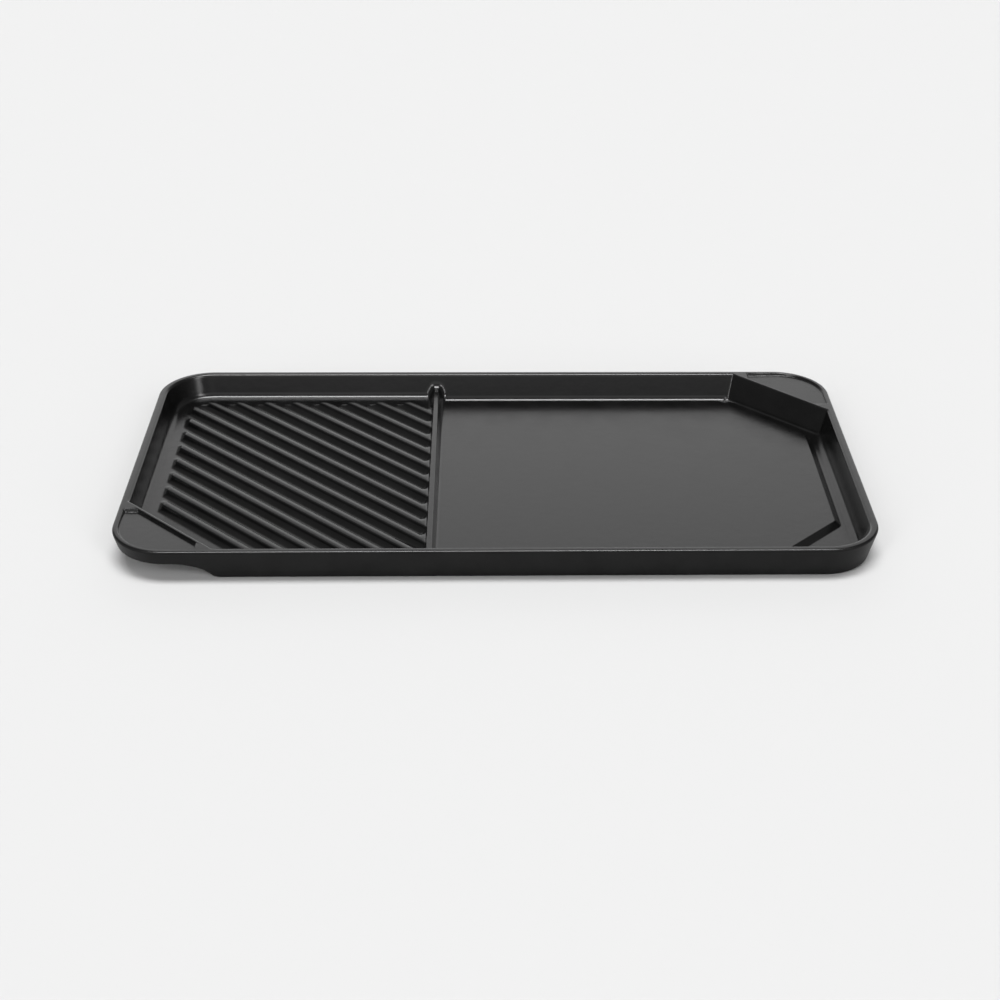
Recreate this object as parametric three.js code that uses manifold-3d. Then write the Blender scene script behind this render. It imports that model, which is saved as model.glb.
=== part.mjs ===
// A two-burner stovetop griddle, cast in one piece: a smooth griddle on the right, a ribbed grill
// on the left, a divider between them, and a grab handle across two opposite corners.
// The casting is modelled section by section, with a hair gap between neighbouring sections.
// Millimetres. +X right, +Y back, +Z up. The origin is under the middle, on the resting face.
import * as THREE from 'three';
import { mergeVertices } from 'three/addons/utils/BufferGeometryUtils.js';
import Module from 'manifold-3d';

const wasm = await Module();
wasm.setup();

// Overall size
const LENGTH = 508;
const DEPTH = 276;
const HEIGHT = 23;
const HALF_LENGTH = LENGTH / 2;
const HALF_DEPTH = DEPTH / 2;
const GAP = 0.3;
const BEYOND = 100; // how far a cutting block reaches past the part

// Wall section
const RIM_WIDTH = 5.5;
const DRAFT_ANGLE = THREE.MathUtils.degToRad(15);
const DRAFT = Math.tan(DRAFT_ANGLE);
const CORNER_RADIUS = 38;
const BASE_EDGE_RADIUS = 3.6;
const WALL_FOOT_RADIUS = 4;
const FLOOR_INSET = 14; // the wall sections end and the floors begin this far in
const ARC_STEPS = 10;
const ROUND_STEPS = 4;

// Floors
const GRILL_FLOOR = 6;
const GUTTER_FLOOR = 3.3;
const PLATEAU = 6.5;
const PLATEAU_INSET = 19; // from the outer edge, along the back and the front
const PLATEAU_HANDLE_INSET = 17.8; // from the inner top edge of the handle wall
const PLATEAU_RIGHT = 231.6;
const PLATEAU_STEP = 4.6; // run of the step down to the gutter
const GREASE_WELL_CUT = 302; // x - y on the plateau edge that clips the front right corner

// Divider between the two cooking surfaces
const DIVIDER_X = -45.2;
const DIVIDER_TOP = 13;
const DIVIDER_TOP_WIDTH = 4.5;
const DIVIDER_WAIST_WIDTH = 10.5;
const DIVIDER_BASE_WIDTH = 13.5;
const DIVIDER_WAIST = 8;
const DIVIDER_FOOT = 6.8;

// Grill ribs, at 45 degrees from back left to front right
const RIB_COUNT = 16;
const RIB_PITCH = 15.1;
const FIRST_RIB = 30.2; // distance of its centre line from the origin, towards the back right
const RIB_HEIGHT = 4.5;
const RIB_SHOULDER = 3.7;
const RIB_BASE_WIDTH = 6.8;
const RIB_SHOULDER_WIDTH = 4.8;
const RIB_TOP_WIDTH = 3.4;
const RIB_END_RUN = 6.8; // how far the foot of an end is nearer to the wall than its crest
const RIB_BACK_INSET = 27.6; // of the crest's end, from the back outer edge
const RIB_SIDE_INSET = 24.4; // and from the left and front ones

// Corner handles
const HANDLE_CUT = 317.6; // |x + y| along the inner top edge of both handle walls
const HANDLE_LEAN = 1.2; // how much more than the other walls the handle walls lean
const HANDLE_BAR = 2;
const HANDLE_LIP = 4;
const HANDLE_WIDTH = 35.5; // from the inner top edge out to the middle of the round corner
const POCKET_DEEP = 20.8; // height of the pocket's floor beside the bar
const POCKET_SHALLOW = 21.5; // and beside the lip in the middle of the round corner
const POCKET_END = 58; // along each side, from the corner
const SKIRT_BOTTOM = 12.4;
const SKIRT_WIDTH = 5.8;
const HOLLOW_TOP = 15.8;
const HANDLE_REACH = 82; // along each side, from the corner to the full-height wall

const SQRT2 = Math.SQRT2;
const HANDLE_EDGE = HANDLE_CUT / SQRT2;

// ---------------------------------------------------------------- solids

function solidFrom(geometry) {
  geometry.deleteAttribute('normal');
  geometry.deleteAttribute('uv');
  const merged = mergeVertices(geometry, 1e-4);
  return new wasm.Manifold(new wasm.Mesh({
    numProp: 3,
    vertProperties: new Float32Array(merged.attributes.position.array),
    triVerts: new Uint32Array(merged.index.array),
  }));
}

function geometryFrom(solid) {
  const { vertProperties, triVerts } = solid.getMesh();
  const geometry = new THREE.BufferGeometry();
  geometry.setAttribute('position', new THREE.BufferAttribute(vertProperties, 3));
  geometry.setIndex(new THREE.BufferAttribute(triVerts, 1));
  geometry.computeVertexNormals();
  return geometry;
}

// Joins a stack of level rings, bottom first, each { z, points }, into a closed geometry.
function loft(rings) {
  const count = rings[0].points.length;
  const positions = rings.flatMap(({ z, points }) => points.flatMap((p) => [p.x, p.y, z]));
  const index = [];
  for (let level = 0; level + 1 < rings.length; level += 1) {
    for (let i = 0; i < count; i += 1) {
      const a = level * count + i;
      const b = level * count + ((i + 1) % count);
      index.push(a, b, b + count, a, b + count, a + count);
    }
  }
  const top = (rings.length - 1) * count;
  THREE.ShapeUtils.triangulateShape(rings[0].points, [])
    .forEach(([a, b, c]) => index.push(a, c, b));
  THREE.ShapeUtils.triangulateShape(rings.at(-1).points, [])
    .forEach(([a, b, c]) => index.push(top + a, top + b, top + c));
  const geometry = new THREE.BufferGeometry();
  geometry.setAttribute('position', new THREE.Float32BufferAttribute(positions, 3));
  geometry.setIndex(index);
  return geometry;
}

function prism(points, bottom, top) {
  return solidFrom(loft([{ z: bottom, points }, { z: top, points }]));
}

function block(x, y, z) {
  const geometry = new THREE.BoxGeometry(x[1] - x[0], y[1] - y[0], z[1] - z[0]);
  geometry.translate((x[0] + x[1]) / 2, (y[0] + y[1]) / 2, (z[0] + z[1]) / 2);
  return solidFrom(geometry);
}

function column(x, y) {
  return block(x, y, [-1, HEIGHT + 1]);
}

// A section in (outward distance from the handle wall's inner top edge, height), run along the
// front left diagonal through the whole part.
function alongDiagonal(section) {
  const shape = new THREE.Shape(section.map(([out, z]) => new THREE.Vector2(out, z)));
  const run = LENGTH;
  const geometry = new THREE.ExtrudeGeometry(shape, { depth: run, bevelEnabled: false });
  geometry.translate(0, 0, -run / 2);
  geometry.rotateX(Math.PI / 2);
  geometry.translate(HANDLE_EDGE, 0, 0);
  geometry.rotateZ(-Math.PI * 0.75);
  return solidFrom(geometry);
}

// ---------------------------------------------------------------- outlines

function arc(x, y, radius, start) {
  return Array.from({ length: ARC_STEPS + 1 }, (_, i) => {
    const angle = start + (i / ARC_STEPS) * (Math.PI / 2);
    return new THREE.Vector2(x + radius * Math.cos(angle), y + radius * Math.sin(angle));
  });
}

// The outer outline, moved inwards by inset.
function outerOutline(inset) {
  const x = HALF_LENGTH - CORNER_RADIUS;
  const y = HALF_DEPTH - CORNER_RADIUS;
  const radius = CORNER_RADIUS - inset;
  return [
    ...arc(x, -y, radius, -Math.PI / 2),
    ...arc(x, y, radius, 0),
    ...arc(-x, y, radius, Math.PI / 2),
    ...arc(-x, -y, radius, Math.PI),
  ];
}

// The inner outline: the same, with the two handle corners cut off straight.
function innerOutline(inset) {
  const x = HALF_LENGTH - inset;
  const y = HALF_DEPTH - inset;
  const cut = HANDLE_CUT - (inset - RIM_WIDTH) * HANDLE_LEAN * SQRT2;
  const radius = CORNER_RADIUS - inset;
  return [
    new THREE.Vector2(y - cut, -y),
    ...arc(x - radius, radius - y, radius, -Math.PI / 2),
    new THREE.Vector2(x, cut - x),
    new THREE.Vector2(cut - y, y),
    ...arc(radius - x, y - radius, radius, Math.PI / 2),
    new THREE.Vector2(-x, x - cut),
  ];
}

// Rings that follow a drafted wall up from a rounded foot. edge is the wall's inset at rim height.
function wallRings(outline, edge, foot, radius, top) {
  const wallInset = (z) => edge + DRAFT * (HEIGHT - z);
  const centre = wallInset(foot + radius) + radius / Math.cos(DRAFT_ANGLE);
  const sweep = Math.PI / 2 - DRAFT_ANGLE;
  const rings = Array.from({ length: ROUND_STEPS + 1 }, (_, i) => {
    const angle = (i / ROUND_STEPS) * sweep;
    return {
      z: foot + radius * (1 - Math.cos(angle)),
      points: outline(centre - radius * Math.sin(angle)),
    };
  });
  return [...rings, { z: top, points: outline(wallInset(top)) }];
}

function envelope() {
  return solidFrom(loft(wallRings(outerOutline, 0, 0, BASE_EDGE_RADIUS, HEIGHT)));
}

// The hollow of the pan down to one floor, shrunk all round by clearance.
function hollow(floor, clearance) {
  const edge = RIM_WIDTH + clearance;
  const foot = floor + clearance;
  return solidFrom(loft(wallRings(innerOutline, edge, foot, WALL_FOOT_RADIUS, HEIGHT + 1)));
}

// The hollow over both floors.
function panHollow(clearance) {
  const left = column([-HALF_LENGTH, DIVIDER_X], [-HALF_DEPTH, HALF_DEPTH]);
  const right = column([DIVIDER_X, HALF_LENGTH], [-HALF_DEPTH, HALF_DEPTH]);
  const grill = hollow(GRILL_FLOOR, clearance).intersect(left);
  return hollow(GUTTER_FLOOR, clearance).intersect(right).add(grill);
}

// ---------------------------------------------------------------- walls

// The full-height walls and corners, as a ring round the floors.
function wallRing() {
  return envelope()
    .subtract(panHollow(0))
    .subtract(prism(innerOutline(FLOOR_INSET), -1, HEIGHT + 1));
}

// The runs and corners, each cut from the ring by its own column.
function wallSections() {
  const ring = wallRing();
  const cornerX = HALF_LENGTH - CORNER_RADIUS;
  const cornerY = HALF_DEPTH - CORNER_RADIUS;
  const handleX = HALF_LENGTH - HANDLE_REACH;
  const handleY = HALF_DEPTH - HANDLE_REACH;
  const longRun = [-handleX + GAP, cornerX - GAP];
  const shortRun = [-handleY + GAP, cornerY - GAP];
  const flip = ([low, high]) => [-high, -low];
  const front = [-HALF_DEPTH - 1, 0];
  const left = [-HALF_LENGTH - 1, 0];
  const columns = {
    front_wall: column(longRun, front),
    back_wall: column(flip(longRun), flip(front)),
    left_wall: column(left, shortRun),
    right_wall: column(flip(left), flip(shortRun)),
    back_left_corner: column([left[0], -cornerX], [cornerY, -front[0]]),
    front_right_corner: column([cornerX, -left[0]], [front[0], -cornerY]),
  };
  return Object.entries(columns).map(([name, cut]) => [name, ring.intersect(cut)]);
}

// ---------------------------------------------------------------- handles

// The finger space under the front left handle: open under the skirt, deeper behind it.
function fingerSpace() {
  const underSkirt = alongDiagonal([
    [-5, -1], [BEYOND, -1], [BEYOND, SKIRT_BOTTOM], [28.5, SKIRT_BOTTOM], [19, 11.8],
    [14.2, 10.8], [9.6, 8.8], [5, 5.2], [-0.4, 1.5], [-5, 0],
  ]);
  const behindSkirt = alongDiagonal([
    [-5, -1], [BEYOND, -1], [BEYOND, HOLLOW_TOP], [9, HOLLOW_TOP], [4.6, 14], [2, 10],
    [0.6, 5.5], [-0.4, 1.5], [-5, 0],
  ]).intersect(prism(outerOutline(SKIRT_WIDTH), -1, HEIGHT));
  return underSkirt.add(behindSkirt);
}

function outsideDiagonal(distance) {
  return alongDiagonal([
    [distance, -1], [BEYOND, -1], [BEYOND, HEIGHT + 1], [distance, HEIGHT + 1],
  ]);
}

// The sunk pocket on top of the handle, deepest beside the bar.
function pocket() {
  const reach = [-HALF_LENGTH - 1, POCKET_END - HALF_LENGTH];
  const depth = [-HALF_DEPTH - 1, POCKET_END - HALF_DEPTH];
  return alongDiagonal([
    [0, POCKET_DEEP], [HANDLE_WIDTH - HANDLE_LIP, POCKET_SHALLOW], [BEYOND, POCKET_SHALLOW],
    [BEYOND, HEIGHT + 1], [0, HEIGHT + 1],
  ])
    .intersect(prism(outerOutline(HANDLE_LIP), 0, HEIGHT + 1))
    .intersect(column(reach, depth));
}

// The pad to hold: a lipped pocket on top and a short skirt round the outside.
function handlePad() {
  return envelope()
    .intersect(outsideDiagonal(HANDLE_BAR + GAP))
    .subtract(pocket())
    .subtract(fingerSpace());
}

// The wall that cuts off the corner, from the floor up to the bar behind the pocket.
function handleWall() {
  const corner = column(
    [-HALF_LENGTH - 1, HANDLE_REACH - HALF_LENGTH],
    [-HALF_DEPTH - 1, HANDLE_REACH - HALF_DEPTH],
  );
  return wallRing()
    .intersect(corner)
    .subtract(outsideDiagonal(HANDLE_BAR))
    .subtract(fingerSpace());
}

// ---------------------------------------------------------------- floors, divider and ribs

function floorColumn(side) {
  const edge = DIVIDER_BASE_WIDTH / 2 + GAP;
  const x = side < 0
    ? [-HALF_LENGTH, DIVIDER_X - edge]
    : [DIVIDER_X + edge, HALF_LENGTH];
  return column(x, [-HALF_DEPTH, HALF_DEPTH]);
}

function grillPlate() {
  return prism(innerOutline(FLOOR_INSET + GAP), 0, GRILL_FLOOR).intersect(floorColumn(-1));
}

// The plateau's edge, grown by the given run where it faces a gutter.
function plateauOutline(grow) {
  const y = HALF_DEPTH - PLATEAU_INSET + grow;
  const right = PLATEAU_RIGHT + grow;
  const well = GREASE_WELL_CUT + grow * SQRT2;
  const handle = HANDLE_CUT - (PLATEAU_HANDLE_INSET - grow) * SQRT2;
  return [
    new THREE.Vector2(DIVIDER_X, -y),
    new THREE.Vector2(well - y, -y),
    new THREE.Vector2(right, right - well),
    new THREE.Vector2(right, handle - right),
    new THREE.Vector2(handle - y, y),
    new THREE.Vector2(DIVIDER_X, y),
  ];
}

function griddlePlate() {
  const floor = prism(innerOutline(FLOOR_INSET + GAP), 0, GUTTER_FLOOR);
  const rise = PLATEAU - GUTTER_FLOOR;
  const plateau = solidFrom(loft([
    { z: 1, points: plateauOutline(PLATEAU_STEP) },
    { z: GUTTER_FLOOR, points: plateauOutline(PLATEAU_STEP) },
    { z: GUTTER_FLOOR + rise / 2, points: plateauOutline(PLATEAU_STEP / 2) },
    { z: PLATEAU, points: plateauOutline(0) },
  ]));
  return floor.add(plateau).intersect(floorColumn(1));
}

function divider() {
  const half = [DIVIDER_BASE_WIDTH, DIVIDER_WAIST_WIDTH, DIVIDER_TOP_WIDTH].map((w) => w / 2);
  const shape = new THREE.Shape([
    new THREE.Vector2(-half[0], 0),
    new THREE.Vector2(half[0], 0),
    new THREE.Vector2(half[0], DIVIDER_FOOT),
    new THREE.Vector2(half[1], DIVIDER_WAIST),
    new THREE.Vector2(half[2], DIVIDER_TOP),
    new THREE.Vector2(-half[2], DIVIDER_TOP),
    new THREE.Vector2(-half[1], DIVIDER_WAIST),
    new THREE.Vector2(-half[0], DIVIDER_FOOT),
  ]);
  const geometry = new THREE.ExtrudeGeometry(shape, { depth: DEPTH, bevelEnabled: false });
  geometry.rotateX(Math.PI / 2);
  geometry.translate(DIVIDER_X, HALF_DEPTH, 0);
  const room = panHollow(GAP).add(prism(innerOutline(FLOOR_INSET + GAP), -1, PLATEAU));
  return solidFrom(geometry).intersect(room);
}

// A rib in its own frame: x along it, y across it, z up from the grill floor. Each end is parallel
// to the wall it faces, so it slants across the rib.
function ribBlank(length, startsAtBack) {
  const slant = startsAtBack ? 1 : -1;
  const ring = (z, width, run) => {
    const half = width / 2;
    const start = -run * SQRT2;
    const end = length + run * SQRT2;
    return {
      z,
      points: [
        new THREE.Vector2(start - slant * half, -half),
        new THREE.Vector2(end - half, -half),
        new THREE.Vector2(end + half, half),
        new THREE.Vector2(start + slant * half, half),
      ],
    };
  };
  return loft([
    ring(GAP, RIB_BASE_WIDTH, RIB_END_RUN),
    ring(RIB_SHOULDER, RIB_SHOULDER_WIDTH, RIB_END_RUN * (1 - RIB_SHOULDER / RIB_HEIGHT)),
    ring(RIB_HEIGHT, RIB_TOP_WIDTH, 0),
  ]);
}

// Rib number i. Along a rib x - y grows and x + y stays the same. It runs from the left or back
// wall to the front wall or the divider, whichever comes first.
function rib(i) {
  const sum = (FIRST_RIB - i * RIB_PITCH) * SQRT2;
  const left = -HALF_LENGTH + RIB_SIDE_INSET;
  const back = HALF_DEPTH - RIB_BACK_INSET;
  const front = HALF_DEPTH - RIB_SIDE_INSET;
  const startX = Math.max(left, sum - back);
  const blank = ribBlank((sum + front - startX) * SQRT2, sum - back > left);
  blank.rotateZ(-Math.PI / 4);
  blank.translate(startX, sum - startX, GRILL_FLOOR);
  const room = prism(innerOutline(FLOOR_INSET + GAP), 0, HEIGHT).intersect(floorColumn(-1));
  return solidFrom(blank).intersect(room);
}

// ---------------------------------------------------------------- materials and assembly

function coatedMetal(colour, roughness) {
  return new THREE.MeshStandardMaterial({ color: colour, roughness, metalness: 0.1 });
}

const cookingSurface = coatedMetal(0x1c1c1e, 0.35);
const outerCoat = coatedMetal(0x222224, 0.4);

const griddle = new THREE.Group();

function addPiece(name, geometry, material) {
  const mesh = new THREE.Mesh(geometry, material);
  mesh.name = name;
  griddle.add(mesh);
  return mesh;
}

for (const [name, solid] of wallSections()) {
  addPiece(name, geometryFrom(solid), outerCoat);
}

const pad = geometryFrom(handlePad());
addPiece('front_left_handle', pad, outerCoat);
addPiece('back_right_handle', pad, outerCoat).rotation.z = Math.PI;

const bridge = geometryFrom(handleWall());
addPiece('front_left_handle_wall', bridge, outerCoat);
addPiece('back_right_handle_wall', bridge, outerCoat).rotation.z = Math.PI;

addPiece('grill_plate', geometryFrom(grillPlate()), cookingSurface);
addPiece('griddle_plate', geometryFrom(griddlePlate()), cookingSurface);
addPiece('divider', geometryFrom(divider()), cookingSurface);

for (let i = 0; i < RIB_COUNT; i += 1) {
  const name = `grill_rib_${String(i + 1).padStart(2, '0')}`;
  addPiece(name, geometryFrom(rib(i)), cookingSurface);
}

export default griddle;
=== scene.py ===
"""A cast two-burner stovetop griddle: smooth griddle, ribbed grill, divider and corner handles.

Shapes are worked out in millimetres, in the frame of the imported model, and made in metres.
"""
import math

import bpy
from mathutils import Matrix, Vector


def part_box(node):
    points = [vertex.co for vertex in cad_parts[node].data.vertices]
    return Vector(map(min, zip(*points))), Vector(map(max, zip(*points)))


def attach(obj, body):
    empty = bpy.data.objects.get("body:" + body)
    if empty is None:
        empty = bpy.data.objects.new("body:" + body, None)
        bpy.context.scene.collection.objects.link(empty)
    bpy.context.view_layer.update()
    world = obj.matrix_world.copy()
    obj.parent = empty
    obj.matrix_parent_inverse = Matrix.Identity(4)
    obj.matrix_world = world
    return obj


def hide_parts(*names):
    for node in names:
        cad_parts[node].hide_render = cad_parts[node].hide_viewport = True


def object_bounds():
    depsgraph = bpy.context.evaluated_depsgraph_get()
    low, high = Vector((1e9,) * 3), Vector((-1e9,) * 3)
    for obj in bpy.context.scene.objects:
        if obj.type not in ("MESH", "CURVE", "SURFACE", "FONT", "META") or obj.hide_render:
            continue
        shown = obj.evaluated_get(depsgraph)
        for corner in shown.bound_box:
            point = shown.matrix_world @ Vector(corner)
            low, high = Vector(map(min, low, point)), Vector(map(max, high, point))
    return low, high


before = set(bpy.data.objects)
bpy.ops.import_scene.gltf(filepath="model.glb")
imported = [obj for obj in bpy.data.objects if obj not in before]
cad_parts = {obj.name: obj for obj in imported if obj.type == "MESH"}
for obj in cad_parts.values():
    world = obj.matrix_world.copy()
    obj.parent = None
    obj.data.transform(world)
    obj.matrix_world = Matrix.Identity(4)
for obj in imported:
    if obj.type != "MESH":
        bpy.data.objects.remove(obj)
cad_low, cad_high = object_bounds()

MM = 0.001

# ---------------------------------------------------------------- camera

CAMERA_PLACE = (-0.00942, -1.15463, 0.6211)
CAMERA_DOWN = 0.50386  # radians below level
CAMERA_TURN = -0.03459  # radians, and the roll too
CAMERA_ROLL = 0.0135
CAMERA_LENS = 65.69  # millimetres
CAMERA_SHIFT = (-0.03865, 0.00061)
SENSOR = 36.0


def make_camera():
    data = bpy.data.cameras.new("camera")
    data.lens = CAMERA_LENS
    data.sensor_width = SENSOR
    data.shift_x, data.shift_y = CAMERA_SHIFT
    camera = bpy.data.objects.new("camera", data)
    turn = Matrix.Rotation(CAMERA_TURN, 4, "Z")
    tilt = Matrix.Rotation(math.pi / 2 - CAMERA_DOWN, 4, "X")
    roll = Matrix.Rotation(CAMERA_ROLL, 4, "Z")
    camera.matrix_world = Matrix.Translation(CAMERA_PLACE) @ turn @ tilt @ roll
    bpy.context.scene.collection.objects.link(camera)
    bpy.context.scene.camera = camera


make_camera()

# ---------------------------------------------------------------- sizes, in millimetres


def box_mm(node):
    low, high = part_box(node)
    return low / MM, high / MM


HALF_LENGTH = cad_high.x / MM
HALF_DEPTH = cad_high.y / MM
HEIGHT = cad_high.z / MM
CORNER = box_mm("back_left_corner")[1].x + HALF_LENGTH  # outer radius of the round corners
FLOOR_INSET = box_mm("left_wall")[1].x + HALF_LENGTH  # where the walls end and the floors begin
GRILL_FLOOR = box_mm("grill_plate")[1].z
PLATEAU = box_mm("griddle_plate")[1].z
DIVIDER_X = (box_mm("divider")[0].x + box_mm("divider")[1].x) / 2
DIVIDER_TOP = box_mm("divider")[1].z
HANDLE_END = box_mm("front_left_handle_wall")[1].x + HALF_LENGTH  # along a side, from the corner

DRAFT = math.tan(math.radians(15))
RIM = 5.5  # width of the wall's flat top
BASE_EDGE = 3.6  # radii of the wall's edges and of its foot
RIM_OUTER_EDGE = 1.5
RIM_INNER_EDGE = 2.4
WALL_FOOT = 5.0
RIM_REACH = RIM_OUTER_EDGE * 0.303  # moves the rounded edge out, so that it is as wide as the pan
COAT_CHANGE = 0.4  # the non-stick coat starts this far below the top of the rim
ROUND_STEPS = 40  # sections round a corner of the pan
GUTTER_FLOOR = 3.3
HANDLE_CUT = 317.6  # |x + y| along the inner top edge of both handle walls
HANDLE_LEAN = 1.2  # how much more than the other walls the handle walls lean
ROOT2 = math.sqrt(2)

# ---------------------------------------------------------------- small tools


def smooth(low, high, value):
    """0 below low, 1 above high, and an S between them."""
    t = min(1.0, max(0.0, (value - low) / (high - low)))
    return t * t * (3 - 2 * t)


def mix(a, b, t):
    return a + (b - a) * t


def steps(start, end, count):
    return [mix(start, end, i / count) for i in range(count + 1)]


def round_path(corners):
    """The path through the corners, each (x, y, radius, arc steps), with those corners rounded."""
    points = [Vector(corner[:2]) for corner in corners]
    path = []
    for i, point in enumerate(points):
        radius, count = (corners[i] + (0, 0))[2:4]
        if not radius:
            path.append(point)
            continue
        before = (points[i - 1] - point).normalized()
        after = (points[i + 1] - point).normalized()
        half = before.angle(after) / 2
        centre = point + (before + after).normalized() * radius / math.sin(half)
        spoke = point + before * radius / math.tan(half) - centre
        side = 1 if before.x * after.y - before.y * after.x < 0 else -1
        for turn in steps(0, side * (math.pi - 2 * half), count):
            cos, sin = math.cos(turn), math.sin(turn)
            path.append(centre + Vector((spoke.x * cos - spoke.y * sin,
                                         spoke.x * sin + spoke.y * cos)))
    return path


def make_piece(name, vertices, faces, materials, face_slots, nodes):
    """A closed mesh piece from millimetre vertices. It rides on the pan and replaces the nodes."""
    mesh = bpy.data.meshes.new(name)
    mesh.from_pydata([Vector(v) * MM for v in vertices], [], faces)
    mesh.validate()
    for material in materials:
        mesh.materials.append(material)
    mesh.polygons.foreach_set("material_index", face_slots)
    mesh.polygons.foreach_set("use_smooth", [True] * len(faces))
    mesh.set_sharp_from_angle(angle=math.radians(50))
    mesh.update()
    piece = bpy.data.objects.new(name, mesh)
    bpy.context.scene.collection.objects.link(piece)
    normals = piece.modifiers.new("flat faces stay flat", "WEIGHTED_NORMAL")
    normals.keep_sharp = True
    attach(piece, "root")
    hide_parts(*nodes)
    return piece


def sweep(name, sections, materials, slots, nodes):
    """Joins equal closed sections, one per station, and caps both ends. slots is one material
    number for each side of the section."""
    count = len(sections[0])
    vertices = [point for section in sections for point in section]
    faces, face_slots = [], []
    for i in range(len(sections) - 1):
        for k in range(count):
            a, b = i * count + k, i * count + (k + 1) % count
            faces.append((a, b, b + count, a + count))
            face_slots.append(slots[k])
    last = (len(sections) - 1) * count
    faces += [tuple(range(count))[::-1], tuple(range(last, last + count))]
    face_slots += [0, 0]
    return make_piece(name, vertices, faces, materials, face_slots, nodes)


# ---------------------------------------------------------------- materials


def new_material(name):
    material = bpy.data.materials.new(name)
    material.use_nodes = True
    return material, material.node_tree.nodes, material.node_tree.links


def black_coat(name, dark, light, rough, specular, grain, dents):
    """A satin black coat over cast metal: fine grain, soft casting waves and mottled gloss."""
    material, nodes, links = new_material(name)
    shader = nodes["Principled BSDF"]
    shader.inputs["IOR"].default_value = 1.5
    shader.inputs["Specular IOR Level"].default_value = specular
    place = nodes.new("ShaderNodeTexCoord").outputs["Object"]

    def noise(scale, detail):
        node = nodes.new("ShaderNodeTexNoise")
        node.inputs["Scale"].default_value = scale
        node.inputs["Detail"].default_value = detail
        links.new(place, node.inputs["Vector"])
        return node.outputs["Fac"]

    def spread(value, low, high):
        node = nodes.new("ShaderNodeMapRange")
        node.inputs["From Min"].default_value = 0.3
        node.inputs["From Max"].default_value = 0.7
        node.inputs["To Min"].default_value = low
        node.inputs["To Max"].default_value = high
        links.new(value, node.inputs["Value"])
        return node.outputs["Result"]

    mottle = noise(60, 4)
    colour = nodes.new("ShaderNodeMix")
    colour.data_type = "RGBA"
    colour.inputs["A"].default_value = (*dark, 1)
    colour.inputs["B"].default_value = (*light, 1)
    links.new(spread(mottle, 0, 1), colour.inputs["Factor"])
    links.new(colour.outputs["Result"], shader.inputs["Base Color"])
    links.new(spread(mottle, *rough), shader.inputs["Roughness"])

    normal = None
    for scale, detail, height in ((2600, 3, grain), (190, 2, dents)):
        bump = nodes.new("ShaderNodeBump")
        bump.inputs["Distance"].default_value = height
        links.new(noise(scale, detail), bump.inputs["Height"])
        if normal:
            links.new(normal, bump.inputs["Normal"])
        normal = bump.outputs["Normal"]
    links.new(normal, shader.inputs["Normal"])
    return material


inner_coat = black_coat("nonstick_black", (0.002, 0.002, 0.002), (0.004, 0.004, 0.004),
                        (0.19, 0.25), 0.5, 0.00001, 0.00005)
outer_coat = black_coat("outer_black", (0.004, 0.004, 0.004), (0.008, 0.008, 0.008),
                        (0.42, 0.52), 0.14, 0.00002, 0.00006)
COATS = [outer_coat, inner_coat]
OUTER, INNER = 0, 1

# ---------------------------------------------------------------- walls and round corners


def wall_section(floor):
    """The wall's outline in (inset from the outer rim edge, height): underside, outer face, rim,
    inner face and foot."""
    inner_foot = RIM + DRAFT * (HEIGHT - floor)
    return round_path([
        (FLOOR_INSET, 0),
        (DRAFT * HEIGHT - RIM_REACH, 0, BASE_EDGE, 8),
        (-RIM_REACH, HEIGHT, RIM_OUTER_EDGE, 5),
        (RIM, HEIGHT, RIM_INNER_EDGE, 6),
        (inner_foot, floor, WALL_FOOT, 10),
        (FLOOR_INSET, floor),
    ])


def wall_slots(section):
    """Outer coat under and outside, up to the rim. Non-stick coat from the rim inwards."""
    rim_edge = next(k for k, point in enumerate(section) if point.y > HEIGHT - COAT_CHANGE)
    return [OUTER if k < rim_edge or k == len(section) - 1 else INNER
            for k in range(len(section))]


def placed(section, base, inward):
    return [(base.x + inward.x * p.x, base.y + inward.y * p.x, p.y) for p in section]


def straight_wall(name, start, end, floors):
    """A run of wall. floors is a list of (fraction along the run, floor height)."""
    along = (end - start).normalized()
    inward = Vector((-along.y, along.x))
    sections = [placed(wall_section(floor), mix(start, end, t), inward) for t, floor in floors]
    slots = wall_slots(wall_section(floors[0][1]))
    return sweep(name, sections, COATS, slots, [name])


def round_corner(name, centre, start_angle, floor):
    section = wall_section(floor)
    sections = []
    for angle in steps(start_angle, start_angle + math.pi / 2, ROUND_STEPS):
        outward = Vector((math.cos(angle), math.sin(angle)))
        sections.append(placed(section, centre + outward * CORNER, -outward))
    return sweep(name, sections, COATS, wall_slots(section), [name])


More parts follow.
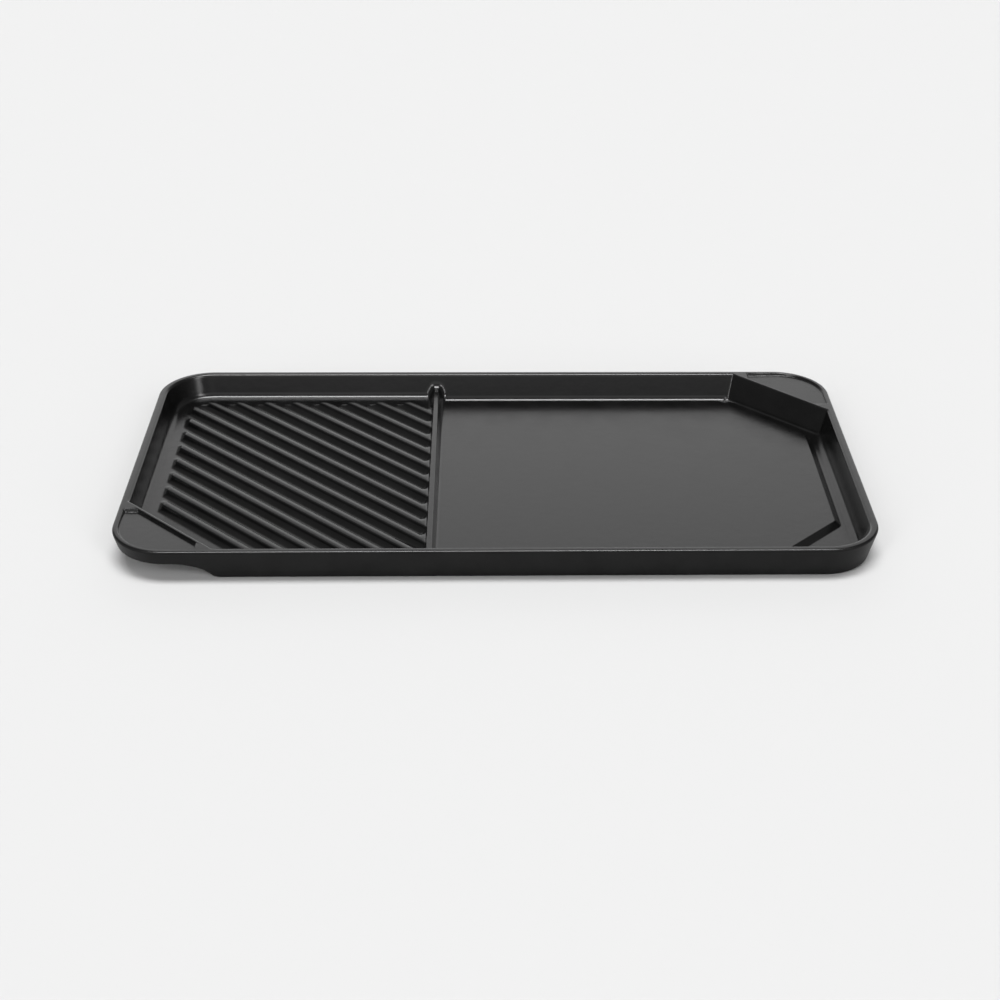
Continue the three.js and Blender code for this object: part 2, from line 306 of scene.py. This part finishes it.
def make_walls():
    long_handle = HALF_LENGTH - HANDLE_END
    short_handle = HALF_DEPTH - HANDLE_END
    corner_x = HALF_LENGTH - CORNER
    corner_y = HALF_DEPTH - CORNER
    split = (DIVIDER_X + long_handle) / (corner_x + long_handle)
    change = 0.002  # of the run, over which the floor height changes under the divider
    front = [(0, GRILL_FLOOR), (split - change, GRILL_FLOOR),
             (split + change, GUTTER_FLOOR), (1, GUTTER_FLOOR)]
    split = (long_handle - DIVIDER_X) / (long_handle + corner_x)
    back = [(0, GUTTER_FLOOR), (split - change, GUTTER_FLOOR),
            (split + change, GRILL_FLOOR), (1, GRILL_FLOOR)]
    straight_wall("front_wall", Vector((-long_handle, -HALF_DEPTH)),
                  Vector((corner_x, -HALF_DEPTH)), front)
    straight_wall("back_wall", Vector((long_handle, HALF_DEPTH)),
                  Vector((-corner_x, HALF_DEPTH)), back)
    straight_wall("right_wall", Vector((HALF_LENGTH, -corner_y)),
                  Vector((HALF_LENGTH, short_handle)), [(0, GUTTER_FLOOR), (1, GUTTER_FLOOR)])
    straight_wall("left_wall", Vector((-HALF_LENGTH, corner_y)),
                  Vector((-HALF_LENGTH, -short_handle)), [(0, GRILL_FLOOR), (1, GRILL_FLOOR)])
    round_corner("front_right_corner", Vector((corner_x, -corner_y)), -math.pi / 2, GUTTER_FLOOR)
    round_corner("back_left_corner", Vector((-corner_x, corner_y)), math.pi / 2, GRILL_FLOOR)


# ---------------------------------------------------------------- handles

# The front left handle is worked out from the front wall to the middle of its slanted wall, then
# mirrored across the corner's own diagonal. The back right one is it, turned half way round.
MIRROR = HALF_LENGTH - HALF_DEPTH  # y - x along that diagonal
INNER_BEND = 2.5  # radius where the slanted wall meets a straight one
POCKET_END = 58.0  # along each side, from the corner
BAR = 2.0  # width of the bar between the slanted wall and the pocket
LIP = 3.2  # width of the lip round the outside of the pocket
LIP_SLOPE = 1.5  # width of the slope from the lip down into the pocket
BAR_SLOPE = 0.7  # and from the bar
POCKET_END_SLOPE = (-0.3, 0.9)  # where the slopes at the pocket's ends start and stop
POCKET_DEEP = 20.8  # height of the pocket's floor beside the bar
POCKET_SHALLOW = 21.5  # and beside the lip in the middle of the round corner
SKIRT_BOTTOM = 12.4  # height of the skirt's lower edge
SKIRT_WIDTH = 5.8  # from the outer rim edge to the hollow behind the skirt
SKIRT_EDGE = 1.6  # radius of its lower edge
SKIRT_PROBE = 3.0  # its height is that of the finger space this far inside the outer rim edge
SHELL_REACH = (12.0, 5.2)  # how far in the outer shell's lower face goes, at the base and the skirt
HOLLOW_TOP = 15.8  # height of the roof of the hollow
HOLLOW_RISE = (-2.5, 6.5)  # where it rises to that, measured outwards from the slanted wall's edge
SCOOP_START = -0.4  # the finger space's slope begins here, measured in the same way,
SCOOP_RUN = 24.0  # and reaches the skirt's lower edge after this distance
SCOOP_POWER = 2.6  # how much steeper it is at its beginning
SCOOP_EASE = (-0.8, 3.0)  # where that beginning is eased into the flat base
SLANT_EDGE = 1.2  # radius of the slanted wall's inner top edge
SLANT_FOOT = 1.6  # and of its foot
TURN = (-188.5, -181.0)  # between these x its edges change to those of the front wall
HANDLE_WIDTH = (HALF_LENGTH + HALF_DEPTH - HANDLE_CUT - CORNER * (2 - ROOT2)) / ROOT2

MIDDLE = Vector((-(HANDLE_CUT + MIRROR) / 2, (MIRROR - HANDLE_CUT) / 2))
SLANT = Vector((1, -1)) / ROOT2  # along the slanted wall, towards the front
INWARD = Vector((1, 1)) / ROOT2
BEND_REACH = INNER_BEND * math.tan(math.radians(22.5))


def beyond_bar(point):
    """How far outside the slanted wall's inner top edge a point lies."""
    return -(point.x + point.y + HANDLE_CUT) / ROOT2


def inset_at(point):
    """How far inside the outer rim edge a point of the front left quarter lies."""
    corner = Vector((CORNER - HALF_LENGTH, CORNER - HALF_DEPTH))
    if point.x < corner.x and point.y < corner.y:
        return CORNER - (point - corner).length
    return min(point.x + HALF_LENGTH, point.y + HALF_DEPTH)


def slanted_end(offset):
    """Distance from the slanted wall's middle to its bend, that far inside its inner top edge."""
    side = RIM + offset - HALF_DEPTH
    cut = HANDLE_CUT - offset * HANDLE_LEAN * ROOT2
    return ((-cut - 2 * side) + MIRROR) / ROOT2 - BEND_REACH


class Station:
    """One section line of the handle: a point of the outer rim edge and one of the inner edge."""

    def __init__(self, kind, value):
        self.kind = kind  # "run" along the front wall, "bend", or "slant"
        self.value = value
        inner = self.inner(0)
        pocket_x = POCKET_END - HALF_LENGTH
        corner = Vector((CORNER - HALF_LENGTH, CORNER - HALF_DEPTH))
        if inner.x >= pocket_x:
            self.outer, self.normal = Vector((inner.x, -HALF_DEPTH)), Vector((0, 1))
            return
        fan = 1 - self.value / ((pocket_x - MIDDLE.x) * ROOT2)
        straight = pocket_x - corner.x
        travel = fan * (straight + CORNER * math.pi / 4)
        if travel < straight:
            self.outer, self.normal = Vector((pocket_x - travel, -HALF_DEPTH)), Vector((0, 1))
        else:
            angle = (travel - straight) / CORNER
            self.normal = Vector((math.sin(angle), math.cos(angle)))
            self.outer = corner - self.normal * CORNER

    def inner(self, offset):
        """The point on this line that far inside the inner top edge."""
        side = RIM + offset - HALF_DEPTH
        end = slanted_end(offset)
        base = MIDDLE + INWARD * offset * HANDLE_LEAN
        if self.kind == "slant":
            fixed = (POCKET_END - HALF_LENGTH - MIDDLE.x) * ROOT2
            stretch = (end - fixed) / (slanted_end(0) - fixed)
            place = self.value if self.value < fixed else fixed + (self.value - fixed) * stretch
            return base + SLANT * place
        centre = base + SLANT * end + INWARD * INNER_BEND
        if self.kind == "bend":
            angle = mix(-3 * math.pi / 4, -math.pi / 2, self.value)
            return centre + Vector((math.cos(angle), math.sin(angle))) * INNER_BEND
        return Vector((mix(centre.x, HANDLE_END - HALF_LENGTH, self.value), side))


def scoop(distance):
    """Height of the finger space's inner slope, that far outside the slanted wall's edge."""
    t = min(1.0, max(0.0, (distance - SCOOP_START) / SCOOP_RUN))
    return SKIRT_BOTTOM * (1 - (1 - t) ** SCOOP_POWER) * smooth(*SCOOP_EASE, distance)


def underside(point):
    """Height of the handle's lower face: the finger space, with a hollow behind the skirt."""
    distance = beyond_bar(point)
    hollow = HOLLOW_TOP * smooth(*HOLLOW_RISE, distance)
    behind = smooth(SKIRT_WIDTH - 1, SKIRT_WIDTH, inset_at(point))
    return mix(scoop(distance), max(hollow, scoop(distance)), behind)


def pad_top(point):
    """Height of the handle's upper face: bar, sunk pocket and lip."""
    distance = beyond_bar(point)
    slope = (POCKET_SHALLOW - POCKET_DEEP) / (HANDLE_WIDTH - LIP)
    depth = HEIGHT - POCKET_DEEP - slope * (distance - BAR)
    end = POCKET_END - HALF_LENGTH
    start, stop = POCKET_END_SLOPE
    past_bar = smooth(BAR, BAR + BAR_SLOPE, distance)
    inside = past_bar * smooth(start - end, stop - end, -point.x)
    inset = inset_at(point)
    lip = smooth(LIP, LIP + LIP_SLOPE, inset)
    return HEIGHT - depth * inside * lip


def spread_between(start, end, from_start, from_end):
    """Points along a line: some at fixed distances from one end, some from the other. Where the
    line is short, both sets shrink."""
    length = (end - start).length
    room = max(from_start[-1] + from_end[0], 1e-6)
    shrink = min(1.0, 0.94 * length / room)
    along = (end - start).normalized()
    near = [start + along * (d * shrink) for d in from_start]
    far = [end - along * (d * shrink) for d in from_end]
    gap = [mix(near[-1], far[0], t) for t in (0.25, 0.5, 0.75)]
    return near + gap + far


def handle_section(station, floor):
    """The closed section of the handle at a station, as 3-D points, and each side's coat."""
    outer, normal = station.outer, station.normal
    foot = station.inner(FLOOR_INSET - RIM)
    skirt = scoop(beyond_bar(outer + normal * SKIRT_PROBE))
    lift = skirt / SKIRT_BOTTOM
    edge = mix(BASE_EDGE, SKIRT_EDGE, lift)
    shell = round_path([
        (mix(*SHELL_REACH, lift), skirt),
        (DRAFT * (HEIGHT - skirt) - RIM_REACH, skirt, edge, 8),
        (-RIM_REACH, HEIGHT, RIM_OUTER_EDGE, 5),
        (2, HEIGHT),
    ])[1:-1]
    shell = [(*(outer + normal * p.x), p.y) for p in shell]

    # The points are closest together where the skirt, the lip and the bar bend.
    bottom_edge = Vector(shell[0][:2])
    under = spread_between(foot, bottom_edge, [0, 2, 3.5, 4.3] + steps(5, 14, 12),
                           [6] + steps(4.6, 3.2, 5) + [2.4, 1.2])
    under = [(*p, underside(p)) for p in under]

    turn = smooth(*TURN, station.inner(0).x)
    inner_edge = mix(SLANT_EDGE, RIM_INNER_EDGE, turn)
    face = round_path([
        (-2, HEIGHT),
        (0, HEIGHT, inner_edge, 6),
        (DRAFT * (HEIGHT - floor), floor, mix(SLANT_FOOT, WALL_FOOT, turn), 10),
        (FLOOR_INSET - RIM, floor),
    ])[1:]
    rim_start = Vector(shell[-1][:2])
    rim_end = station.inner(face[0].x)
    top = spread_between(rim_start, rim_end, [0.6] + steps(1.2, 5.4, 12),
                         steps(2.4, 0.7, 7) + [0.35])
    top = [(*p, pad_top(p)) for p in top]
    inside = [(*station.inner(p.x), p.y) for p in face]
    points = under + shell + top + inside
    slots = [OUTER] * (len(under) + len(shell) - 3) + [INNER] * (len(top) + len(inside) + 2)
    return points, slots + [OUTER]


def handle_stations():
    """The stations from the front wall to the middle of the handle, closest at the pocket's end."""
    fixed = (POCKET_END - HALF_LENGTH - MIDDLE.x) * ROOT2
    end = slanted_end(0)
    wall = steps(0.8, 2.4, 8)
    return ([Station("run", t) for t in steps(1, 0, 24)[:-1]]
            + [Station("bend", t) for t in steps(1, 0, 6)]
            + [Station("slant", a) for a in steps(end, fixed + 1, 7)[1:]]
            + [Station("slant", fixed - d) for d in [x - 1.6 for x in wall]]
            + [Station("slant", a) for a in steps(fixed - 1.4, 0, 34)])


def mirrored(point):
    """The same point on the other side of the corner's diagonal."""
    return (point[1] - MIRROR, point[0] + MIRROR, point[2])


def handle_sections(floor):
    half = [handle_section(station, floor) for station in handle_stations()]
    slots = half[0][1]
    half = [points for points, _ in half]
    rest = [[mirrored(p) for p in points] for points in reversed(half[:-1])]
    return (half + rest)[::-1], slots


def make_handles():
    places = (("front_left", 1, GRILL_FLOOR), ("back_right", -1, GUTTER_FLOOR))
    for corner, side, floor in places:
        sections, slots = handle_sections(floor)
        sections = [[(side * x, side * y, z) for x, y, z in points] for points in sections]
        nodes = [f"{corner}_handle", f"{corner}_handle_wall"]
        sweep(f"{corner}_handle", sections, COATS, slots, nodes)


# ---------------------------------------------------------------- floors


def round_inside(centre, start_angle):
    radius = CORNER - FLOOR_INSET
    return [centre + Vector((math.cos(a), math.sin(a))) * radius
            for a in steps(start_angle, start_angle + math.pi / 2, ROUND_STEPS)]


def handle_foot():
    """The foot line of the front left handle wall, from the left wall to the front wall."""
    half = [station.inner(FLOOR_INSET - RIM) for station in handle_stations()]
    rest = [Vector((p.y - MIRROR, p.x + MIRROR)) for p in half[:-1]]
    return rest + half[::-1]


def plate(name, rings, floor_ring, material):
    """A closed plate. rings run from the wall to the cooking surface, each a list of points."""
    count = len(rings[0])
    vertices = [(p.x, p.y, 0) for p in floor_ring]
    vertices += [point for ring in rings for point in ring]
    faces = [tuple(range(count))[::-1]]
    for level in range(len(rings)):
        for i in range(count):
            a, b = level * count + i, level * count + (i + 1) % count
            faces.append((a, b, b + count, a + count))
    last = len(rings) * count
    faces.append(tuple(range(last, last + count)))
    return make_piece(name, vertices, faces, [material], [0] * len(faces), [name])


def grill_outline():
    corner = Vector((CORNER - HALF_LENGTH, HALF_DEPTH - CORNER))
    side = HALF_DEPTH - FLOOR_INSET
    return ([Vector((DIVIDER_X, side))] + round_inside(corner, math.pi / 2) + handle_foot()
            + [Vector((DIVIDER_X, -side))])


def griddle_outline():
    corner = Vector((HALF_LENGTH - CORNER, CORNER - HALF_DEPTH))
    side = HALF_DEPTH - FLOOR_INSET
    return ([Vector((DIVIDER_X, -side))] + round_inside(corner, -math.pi / 2)
            + [-p for p in handle_foot()] + [Vector((DIVIDER_X, side))])


PLATEAU_INSET = 19.0  # from the outer edge, along the back and the front
PLATEAU_HANDLE_INSET = 17.8  # from the inner top edge of the handle wall
PLATEAU_RIGHT = 231.6  # x of its right edge
PLATEAU_ROUND = 3.0  # radius of the plateau's corners
PLATEAU_STEP = 4.6  # run of the step down to the gutter
STEP_ROUND = 1.5  # radius of its top and of its foot
OUTLINE_SPACING = 3.0  # between points of the griddle's outline
WELL_CUT = 302.0  # x - y on the plateau edge across the grease well


def plateau_core():
    """The plateau's outline shrunk by its corner radius, from the divider round to it."""
    y = HALF_DEPTH - PLATEAU_INSET - PLATEAU_ROUND
    right = PLATEAU_RIGHT - PLATEAU_ROUND
    well = WELL_CUT - PLATEAU_ROUND * ROOT2
    handle = HANDLE_CUT - (PLATEAU_HANDLE_INSET + PLATEAU_ROUND) * ROOT2
    return [Vector(p) for p in (
        (DIVIDER_X, -y), (well - y, -y), (right, right - well),
        (right, handle - right), (handle - y, y), (DIVIDER_X, y))]


def with_more_points(outline, spacing):
    """The same closed outline with its long sides divided."""
    points = []
    for a, b in zip(outline, outline[1:] + outline[:1]):
        count = max(1, math.ceil((b - a).length / spacing))
        points += steps(a, b, count)[:-1]
    return points


def nearest_on(path, point):
    best = None
    for a, b in zip(path, path[1:]):
        t = min(1.0, max(0.0, (point - a).dot(b - a) / (b - a).length_squared))
        candidate = mix(a, b, t)
        if best is None or (candidate - point).length < (best - point).length:
            best = candidate
    return best


def make_grill_plate():
    outline = grill_outline()
    ring = [(p.x, p.y, GRILL_FLOOR) for p in outline]
    plate("grill_plate", [ring], outline, inner_coat)


def make_griddle_plate():
    outline = with_more_points(griddle_outline(), OUTLINE_SPACING)
    core = plateau_core()
    feet = [nearest_on(core, p) for p in outline]
    rings = [[(p.x, p.y, GUTTER_FLOOR) for p in outline]]
    step = round_path([
        (PLATEAU_STEP + 1, GUTTER_FLOOR),
        (PLATEAU_STEP, GUTTER_FLOOR, STEP_ROUND, 5),
        (0.3, PLATEAU, STEP_ROUND, 5),
        (-1, PLATEAU),
    ])
    for run, rise in step[1:-1]:
        ring = []
        for foot, point in zip(feet, outline):
            reach = foot + (point - foot).normalized() * (PLATEAU_ROUND + run)
            ring.append((reach.x, reach.y, rise))
        rings.append(ring)
    plate("griddle_plate", rings, outline, inner_coat)


# ---------------------------------------------------------------- divider

DIVIDER_LEFT_TOP = 1.75  # how far the edges of its top are from its middle
DIVIDER_RIGHT_TOP = 1.5
DIVIDER_LEFT_SLOPE = 0.52  # how much each flank leans out for each millimetre down
DIVIDER_RIGHT_SLOPE = 0.43
DIVIDER_LEFT_EDGE = 0.7  # radii of its edges and of its feet
DIVIDER_RIGHT_EDGE = 1.2
DIVIDER_FOOT = 3.6
FOOT_REACH = 2.1  # how far its sections go past the corners of its feet
DIVIDER_END = 5.0  # radius where it runs into the end walls
END_OVERLAP = 0.6  # how far it reaches into them
SUNK = 0.4  # how far hidden skirts of a piece reach below the floor they stand on


def divider_face(z):
    """Distance from the divider's middle to its left flank, at a height."""
    return DIVIDER_LEFT_TOP + DIVIDER_LEFT_SLOPE * (DIVIDER_TOP - z)


def divider_section():
    left = -divider_face(GRILL_FLOOR)
    right = DIVIDER_RIGHT_TOP + DIVIDER_RIGHT_SLOPE * (DIVIDER_TOP - PLATEAU)
    return round_path([
        (left - FOOT_REACH, GRILL_FLOOR),
        (left, GRILL_FLOOR, DIVIDER_FOOT, 8),
        (-DIVIDER_LEFT_TOP, DIVIDER_TOP, DIVIDER_LEFT_EDGE, 6),
        (DIVIDER_RIGHT_TOP, DIVIDER_TOP, DIVIDER_RIGHT_EDGE, 8),
        (right, PLATEAU, DIVIDER_FOOT, 8),
        (right + FOOT_REACH, PLATEAU),
    ])


def wall_face(z):
    """How far from the middle the inner face of the front and back walls is, at a height."""
    return HALF_DEPTH - RIM - DRAFT * (HEIGHT - z)


def make_divider():
    """Swept from the front wall to the back wall. Its section swells at both ends into fillets."""
    section = divider_section()[1:-1]
    normals = []
    for i, point in enumerate(section):
        before, after = section[max(i - 1, 0)], section[min(i + 1, len(section) - 1)]
        tangent = (after - before).normalized()
        normals.append(Vector((-tangent.y, tangent.x)))
    run = [DIVIDER_END * (1 - math.cos(a)) for a in steps(0, math.pi / 2, 10)]
    ends = [-END_OVERLAP] + run
    stations = [(-1, d) for d in ends] + [(1, d) for d in reversed(ends)]
    sections = []
    for side, away in stations:
        inside = DIVIDER_END - max(away, 0)
        swell = DIVIDER_END - math.sqrt(DIVIDER_END ** 2 - inside ** 2)
        ring = []
        for point, normal in zip(section, normals):
            flare = point + normal * swell
            y = side * (wall_face(flare.y) - away)
            ring.append((DIVIDER_X + flare.x, y, flare.y))
        first, last = ring[0], ring[-1]
        ring = [(first[0], first[1], GRILL_FLOOR - SUNK), *ring,
                (last[0], last[1], GUTTER_FLOOR - SUNK)]
        sections.append(ring[::-1])
    slots = [0] * len(sections[0])
    sweep("divider", sections, [inner_coat], slots, ["divider"])


# ---------------------------------------------------------------- ribs

RIB_TOP = box_mm("grill_rib_01")[1].z
RIB_HEIGHT = RIB_TOP - GRILL_FLOOR
RIB_PITCH = 15.1
FIRST_RIB = 30.2  # distance of its centre line from the origin, towards the back right
RIB_BACK_INSET = 27.6  # of the crest's end, from the back outer edge
RIB_SIDE_INSET = 24.4  # and from the left and front ones
RIB_HALF = 7.1  # half the width of its flared foot
RIB_CREST = 2.6  # half the width of its crest
RIB_FLAT = 0.45  # half the width of the flat middle of the crest
RIB_DOME = 0.25  # how much lower the edges of the crest are
RIB_EDGE = 1.1  # radius of the crest's edges
RIB_FOOT = 3.4  # width of the flat part of the foot, before it curves up
RIB_FOOT_ROUND = 4.6
RIB_FLARE = 2.6  # radius, in plan, where it runs into the divider
RIB_TOP_FLARE = 0.6  # radius by which the crest turns up there
RIB_END_ROUND = 1.4  # radius of the corners of its crest in plan
FAR_ALONG = 30  # any distance along a rib that is well away from its end
DIVIDER_REACH = 8  # a rib whose crest ends closer to the divider than this runs into it
RIB_SPACING = 12  # distance between the sections along a rib
# Sections near the divider, as distances along the rib before the foot of the divider's flank.
# The negative ones lie inside the divider.
RIB_STOPS = (14, 10, 8, 7, 6, 5.2, 4.5, 3.8, 3.2, 2.6, 2, 1.4, 0.8, 0.2, -0.5, -1.2, -2.4, -3.6)


def rib_profile():
    """From the foot to the crest, as (distance in from the foot's edge, height)."""
    return round_path([
        (0, 0),
        (RIB_FOOT, 0, RIB_FOOT_ROUND, 10),
        (RIB_HALF - RIB_CREST, RIB_HEIGHT - RIB_DOME, RIB_EDGE, 8),
        (RIB_HALF - RIB_FLAT, RIB_HEIGHT + 0.02),
    ])


def rib_flare(point):
    """Moves a point of a rib near the divider so that the two meet in a cast fillet."""
    x, y, z, across = point
    away = DIVIDER_X - divider_face(z) - x
    near = max(away, 0)
    # A circle that touches the divider and the rib's side. It starts 1.707 of its radius away
    # in the narrow angle of 45 degrees between them, and 0.293 away in the open one of 135.
    if across > 0 and away < 1.707 * RIB_FLARE:
        y += 2.414 * RIB_FLARE - math.sqrt(RIB_FLARE ** 2 - (near - RIB_FLARE) ** 2) - near
    if across < 0 and away < 0.293 * RIB_FLARE:
        y -= 0.414 * RIB_FLARE - math.sqrt(RIB_FLARE ** 2 - (RIB_FLARE - near) ** 2) + near
    if z > RIB_TOP - 1 and away < RIB_TOP_FLARE:
        z += RIB_TOP_FLARE - math.sqrt(RIB_TOP_FLARE ** 2 - (RIB_TOP_FLARE - near) ** 2)
    return x, y, z


def free_end(half, place, slant, facing):
    """A rounded end, parallel to the wall it faces: facing is -1 at a rib's start, 1 at its end."""
    corners = [(place + slant * across, across) for across in (half, -half)]
    if facing > 0:
        corners.reverse()
    far = [(place - facing * FAR_ALONG, across) for _, across in corners]
    radius = min(RIB_END_ROUND, half * 0.5) + max(half - RIB_CREST, 0) * 0.3
    path = round_path([far[0], (*corners[0], radius, 5), (*corners[1], radius, 5), far[1]])
    return [tuple(p) for p in path[1:-1]]


def rib_outline(number, inset):
    """The outline of a rib, drawn in by inset: its start, pairs of points along its two sides,
    and its end.

    Each point is (x, y, how far across the rib). A rib that meets the divider has no end.
    """
    half = RIB_HALF - inset
    total = (FIRST_RIB - (number - 1) * RIB_PITCH) * ROOT2
    left = RIB_SIDE_INSET - HALF_LENGTH
    back = HALF_DEPTH - RIB_BACK_INSET
    front = HALF_DEPTH - RIB_SIDE_INSET
    start_x = max(left, total - back)
    run = (half - RIB_CREST) * ROOT2
    slant = 1 if total - back > left else -1
    face = (DIVIDER_X - divider_face(GRILL_FLOOR) - start_x) * ROOT2
    length = (total + front - start_x) * ROOT2
    meets_divider = length > face - DIVIDER_REACH
    free = (face - RIB_STOPS[0] if meets_divider else length) - 2 * RIB_HALF
    count = max(int(free / RIB_SPACING), 0)
    stops = [RIB_HALF + free * (i + 1) / (count + 1) for i in range(count)]
    end = []
    if meets_divider:
        stops += [face - d for d in RIB_STOPS]
    else:
        end = free_end(half, length + run, 1, 1)

    def in_pan(points):
        return [(start_x + (along + across) / ROOT2,
                 total - start_x + (across - along) / ROOT2, across)
                for along, across in points]

    sides = [in_pan([(s + half, -half), (s - half, half)]) for s in stops]
    return in_pan(free_end(half, -run, slant, -1)), sides, in_pan(end)


def crest_faces(first, start, sides, end):
    """The top of a rib, as a strip between its two sides.

    first is the number of its first vertex; the others are how many points each part has.
    """
    left_first = first + start
    near = list(range(first, left_first))
    left = list(range(left_first, left_first + sides))
    far = list(range(left_first + sides, left_first + sides + end))
    right = [left_first + 2 * sides + end - 1 - i for i in range(sides)]
    if not sides:
        return [tuple(near + far)]
    faces = [(*near, left[0], right[0])]
    faces += [(left[i], left[i + 1], right[i + 1], right[i]) for i in range(sides - 1)]
    if far:
        faces.append((left[-1], *far, right[-1]))
    return faces


def make_rib(name):
    number = int(name[-2:])
    rings = []
    for inset, height in rib_profile():
        start, sides, end = rib_outline(number, inset)
        ring = start + [pair[0] for pair in sides] + end + [pair[1] for pair in reversed(sides)]
        rings.append([rib_flare((x, y, GRILL_FLOOR + height, across)) for x, y, across in ring])
    rings.insert(0, [(x, y, GRILL_FLOOR - SUNK) for x, y, _ in rings[0]])
    count = len(rings[0])
    vertices = [point for ring in rings for point in ring]
    faces = [tuple(range(count))[::-1]]
    for level in range(len(rings) - 1):
        for i in range(count):
            a, b = level * count + i, level * count + (i + 1) % count
            faces.append((a, b, b + count, a + count))
    faces += crest_faces((len(rings) - 1) * count, len(start), len(sides), len(end))
    make_piece(name, vertices, faces, [inner_coat], [0] * len(faces), [name])


# ---------------------------------------------------------------- the studio


FLOOR_REACH = 30.0  # metres
FLOOR_LEVEL = -0.0001


def make_floor():
    mesh = bpy.data.meshes.new("studio_floor")
    corners = [(-1, -1), (1, -1), (1, 1), (-1, 1)]
    mesh.from_pydata([(x * FLOOR_REACH, y * FLOOR_REACH, FLOOR_LEVEL) for x, y in corners],
                     [], [(0, 1, 2, 3)])
    floor = bpy.data.objects.new("studio_floor", mesh)
    bpy.context.scene.collection.objects.link(floor)
    material, nodes, _ = new_material("pale_floor")
    shader = nodes["Principled BSDF"]
    shader.inputs["Base Color"].default_value = (0.6, 0.6, 0.6, 1)
    shader.inputs["Roughness"].default_value = 1.0
    shader.inputs["Specular IOR Level"].default_value = 0.0
    mesh.materials.append(material)


def make_softbox(name, aim, half_angle, brightness):
    """A round softbox very far away in the direction aim."""
    light = bpy.data.lights.new(name, "SUN")
    light.angle = 2 * math.radians(half_angle)
    light.energy = brightness * math.pi * math.sin(math.radians(half_angle)) ** 2
    softbox = bpy.data.objects.new(name, light)
    softbox.rotation_euler = Vector(aim).to_track_quat("Z", "Y").to_euler()
    bpy.context.scene.collection.objects.link(softbox)


# Brightness of the backdrop by cosine of the angle from straight behind the pan
BACKDROP = [(0.0, 0.18), (0.70, 0.18), (0.78, 0.62), (0.853, 1.07), (0.906, 1.17), (0.966, 1.45)]
FRONT_GLOW = ((0, -0.9, 0.44), 0.88, 0.96, 0.6)  # direction, cosines of its soft edge, brightness


def make_world():
    """A dim dome with a pale backdrop behind the pan and a weak glow in front."""
    world = bpy.data.worlds.new("dome")
    bpy.context.scene.world = world
    world.use_nodes = True
    nodes, links = world.node_tree.nodes, world.node_tree.links
    place = nodes.new("ShaderNodeTexCoord").outputs["Generated"]

    def cosine(aim):
        node = nodes.new("ShaderNodeVectorMath")
        node.operation = "DOT_PRODUCT"
        node.inputs[1].default_value = Vector(aim).normalized()
        links.new(place, node.inputs[0])
        return node.outputs["Value"]

    ramp = nodes.new("ShaderNodeValToRGB")
    stops = ramp.color_ramp.elements
    while len(stops) < len(BACKDROP):
        stops.new(0.5)
    for stop, (where, level) in zip(stops, BACKDROP):
        stop.position = where
        stop.color = (level, level, level, 1)
    links.new(cosine((0, 1, 0)), ramp.inputs["Fac"])
    aim, edge, inside, brightness = FRONT_GLOW
    glow = nodes.new("ShaderNodeMapRange")
    glow.interpolation_type = "SMOOTHSTEP"
    glow.inputs["From Min"].default_value = edge
    glow.inputs["From Max"].default_value = inside
    glow.inputs["To Max"].default_value = brightness
    links.new(cosine(aim), glow.inputs["Value"])
    add = nodes.new("ShaderNodeMath")
    links.new(ramp.outputs["Color"], add.inputs[0])
    links.new(glow.outputs["Result"], add.inputs[1])
    links.new(add.outputs["Value"], nodes["Background"].inputs["Color"])


bpy.context.scene.view_settings.view_transform = "Standard"

make_world()
make_floor()
for across in (-0.19, 0, 0.19):  # one wide softbox, as three round ones side by side
    make_softbox("softbox_above", (across, -0.05, 1), 10, 10.5)
for height in (0.2, 0.49, 0.8):  # an upright strip on each side, also as three
    make_softbox("strip_right", (0.6, -0.8, height), 7, 7)
    make_softbox("strip_left", (-0.6, -0.8, height), 7, 7)
make_walls()
make_handles()
make_grill_plate()
make_griddle_plate()
make_divider()
for node in sorted(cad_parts):
    if node.startswith("grill_rib_"):
        make_rib(node)
